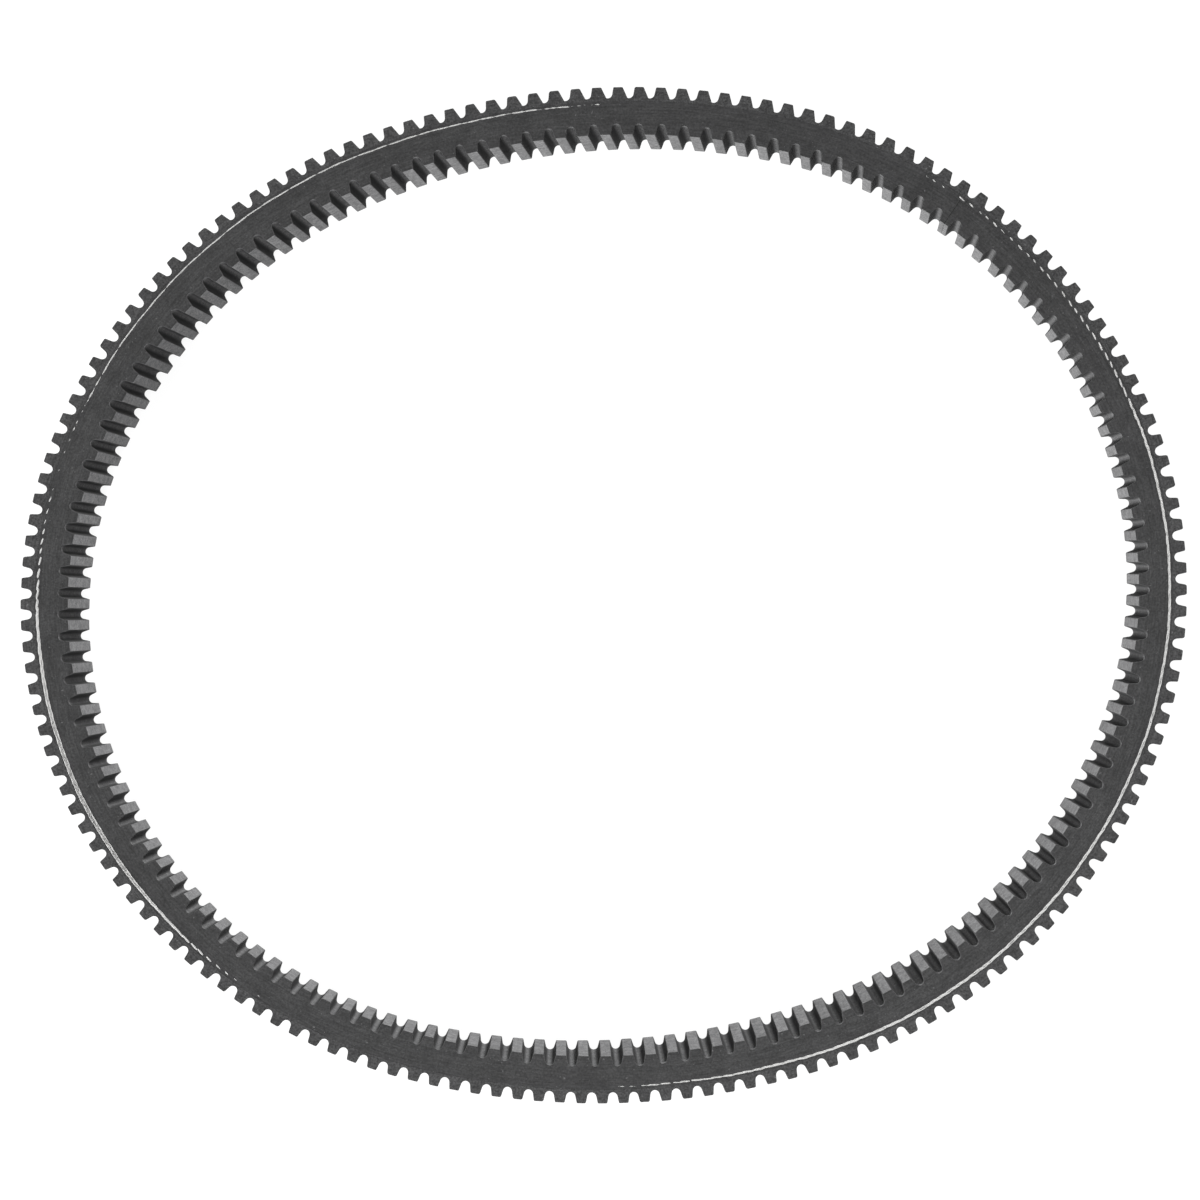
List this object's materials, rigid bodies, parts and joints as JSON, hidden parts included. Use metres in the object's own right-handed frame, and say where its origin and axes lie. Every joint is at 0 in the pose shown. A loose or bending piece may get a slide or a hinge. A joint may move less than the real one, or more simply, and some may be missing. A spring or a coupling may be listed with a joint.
{
  "type": "cogged variable-speed v-belt",
  "caption": "Endless raw-edge V-belt with fine cogs on both sides, lying on its edge as a relaxed oval loop; it squeezes and lets out.",
  "frame": {"origin": "centre of the loop, at the middle of the belt's width", "axes": "+X along the long axis of the resting oval, +Y along its short axis, +Z across the belt's width (the axis of the pulleys it runs on)"},
  "size_m": [0.3842, 0.334, 0.034],
  "materials": {
    "outer_rubber": "matt fibre-filled rubber, ground flanks",
    "inner_rubber": "matt fibre-filled rubber, lighter dusty cog faces",
    "gum": "matt rubber, ground edge",
    "cord": "twisted aramid cord, off-white"
  },
  "bodies": {
    "length_01": {"outer_cogs_01": "outer_rubber", "tensile_cord_01": "cord", "cushion_gum_01": "gum", "inner_cogs_01": "inner_rubber"},
    "length_02": {"outer_cogs_02": "outer_rubber", "tensile_cord_02": "cord", "cushion_gum_02": "gum", "inner_cogs_02": "inner_rubber"},
    "length_03": {"outer_cogs_03": "outer_rubber", "tensile_cord_03": "cord", "cushion_gum_03": "gum", "inner_cogs_03": "inner_rubber"},
    "length_04": {"outer_cogs_04": "outer_rubber", "tensile_cord_04": "cord", "cushion_gum_04": "gum", "inner_cogs_04": "inner_rubber"},
    "length_05": {"outer_cogs_05": "outer_rubber", "tensile_cord_05": "cord", "cushion_gum_05": "gum", "inner_cogs_05": "inner_rubber"},
    "length_06": {"outer_cogs_06": "outer_rubber", "tensile_cord_06": "cord", "cushion_gum_06": "gum", "inner_cogs_06": "inner_rubber"},
    "length_07": {"outer_cogs_07": "outer_rubber", "tensile_cord_07": "cord", "cushion_gum_07": "gum", "inner_cogs_07": "inner_rubber"},
    "length_08": {"outer_cogs_08": "outer_rubber", "tensile_cord_08": "cord", "cushion_gum_08": "gum", "inner_cogs_08": "inner_rubber"},
    "length_09": {"outer_cogs_09": "outer_rubber", "tensile_cord_09": "cord", "cushion_gum_09": "gum", "inner_cogs_09": "inner_rubber"},
    "length_10": {"outer_cogs_10": "outer_rubber", "tensile_cord_10": "cord", "cushion_gum_10": "gum", "inner_cogs_10": "inner_rubber"},
    "length_11": {"outer_cogs_11": "outer_rubber", "tensile_cord_11": "cord", "cushion_gum_11": "gum", "inner_cogs_11": "inner_rubber"},
    "length_12": {"outer_cogs_12": "outer_rubber", "tensile_cord_12": "cord", "cushion_gum_12": "gum", "inner_cogs_12": "inner_rubber"},
    "length_13": {"outer_cogs_13": "outer_rubber", "tensile_cord_13": "cord", "cushion_gum_13": "gum", "inner_cogs_13": "inner_rubber"}
  },
  "joints": [
    {"name": "bend_01", "type": "hinge", "parent": "length_02", "child": "length_01", "pos_m": [0.06801, 0.15205, 0], "axis": [0, 0, -1], "range_deg": [-12, 8]},
    {"name": "bend_02", "type": "hinge", "parent": "length_03", "child": "length_02", "pos_m": [0, 0.16168, 0], "axis": [0, 0, -1], "range_deg": [-12, 8]},
    {"name": "bend_03", "type": "hinge", "parent": "length_04", "child": "length_03", "pos_m": [-0.06801, 0.15205, 0], "axis": [0, 0, -1], "range_deg": [-12, 8]},
    {"name": "bend_04", "type": "hinge", "parent": "length_05", "child": "length_04", "pos_m": [-0.17107, 0.06645, 0], "axis": [0, 0, -1], "range_deg": [-8, 12]},
    {"name": "bend_05", "type": "hinge", "parent": "length_06", "child": "length_05", "pos_m": [-0.18683, 0, 0], "axis": [0, 0, -1], "range_deg": [-8, 12]},
    {"name": "oval_flex", "type": "hinge", "parent": "length_07", "child": "length_06", "pos_m": [-0.17107, -0.06645, 0], "axis": [0, 0, -1], "range_deg": [-8, 12], "stiffness_Nm_per_rad": 8},
    {"name": "bend_07", "type": "hinge", "parent": "length_07", "child": "length_08", "pos_m": [-0.06801, -0.15205, 0], "axis": [0, 0, 1], "range_deg": [-12, 8]},
    {"name": "bend_08", "type": "hinge", "parent": "length_08", "child": "length_09", "pos_m": [0, -0.16168, 0], "axis": [0, 0, 1], "range_deg": [-12, 8]},
    {"name": "bend_09", "type": "hinge", "parent": "length_09", "child": "length_10", "pos_m": [0.06801, -0.15205, 0], "axis": [0, 0, 1], "range_deg": [-12, 8]},
    {"name": "bend_10", "type": "hinge", "parent": "length_10", "child": "length_11", "pos_m": [0.17107, -0.06645, 0], "axis": [0, 0, 1], "range_deg": [-8, 12]},
    {"name": "bend_11", "type": "hinge", "parent": "length_11", "child": "length_12", "pos_m": [0.18683, 0, 0], "axis": [0, 0, 1], "range_deg": [-8, 12]},
    {"name": "bend_12", "type": "hinge", "parent": "length_12", "child": "length_13", "pos_m": [0.17107, 0.06645, 0], "axis": [0, 0, 1], "range_deg": [-8, 12]}
  ],
  "couplings": [
    {"joint": "bend_01", "follows": "oval_flex", "ratio": -1},
    {"joint": "bend_02", "follows": "oval_flex", "ratio": -1},
    {"joint": "bend_03", "follows": "oval_flex", "ratio": -1},
    {"joint": "bend_04", "follows": "oval_flex", "ratio": 1},
    {"joint": "bend_05", "follows": "oval_flex", "ratio": 1},
    {"joint": "bend_07", "follows": "oval_flex", "ratio": -1},
    {"joint": "bend_08", "follows": "oval_flex", "ratio": -1},
    {"joint": "bend_09", "follows": "oval_flex", "ratio": -1},
    {"joint": "bend_10", "follows": "oval_flex", "ratio": 1},
    {"joint": "bend_11", "follows": "oval_flex", "ratio": 1},
    {"joint": "bend_12", "follows": "oval_flex", "ratio": 1}
  ]
}
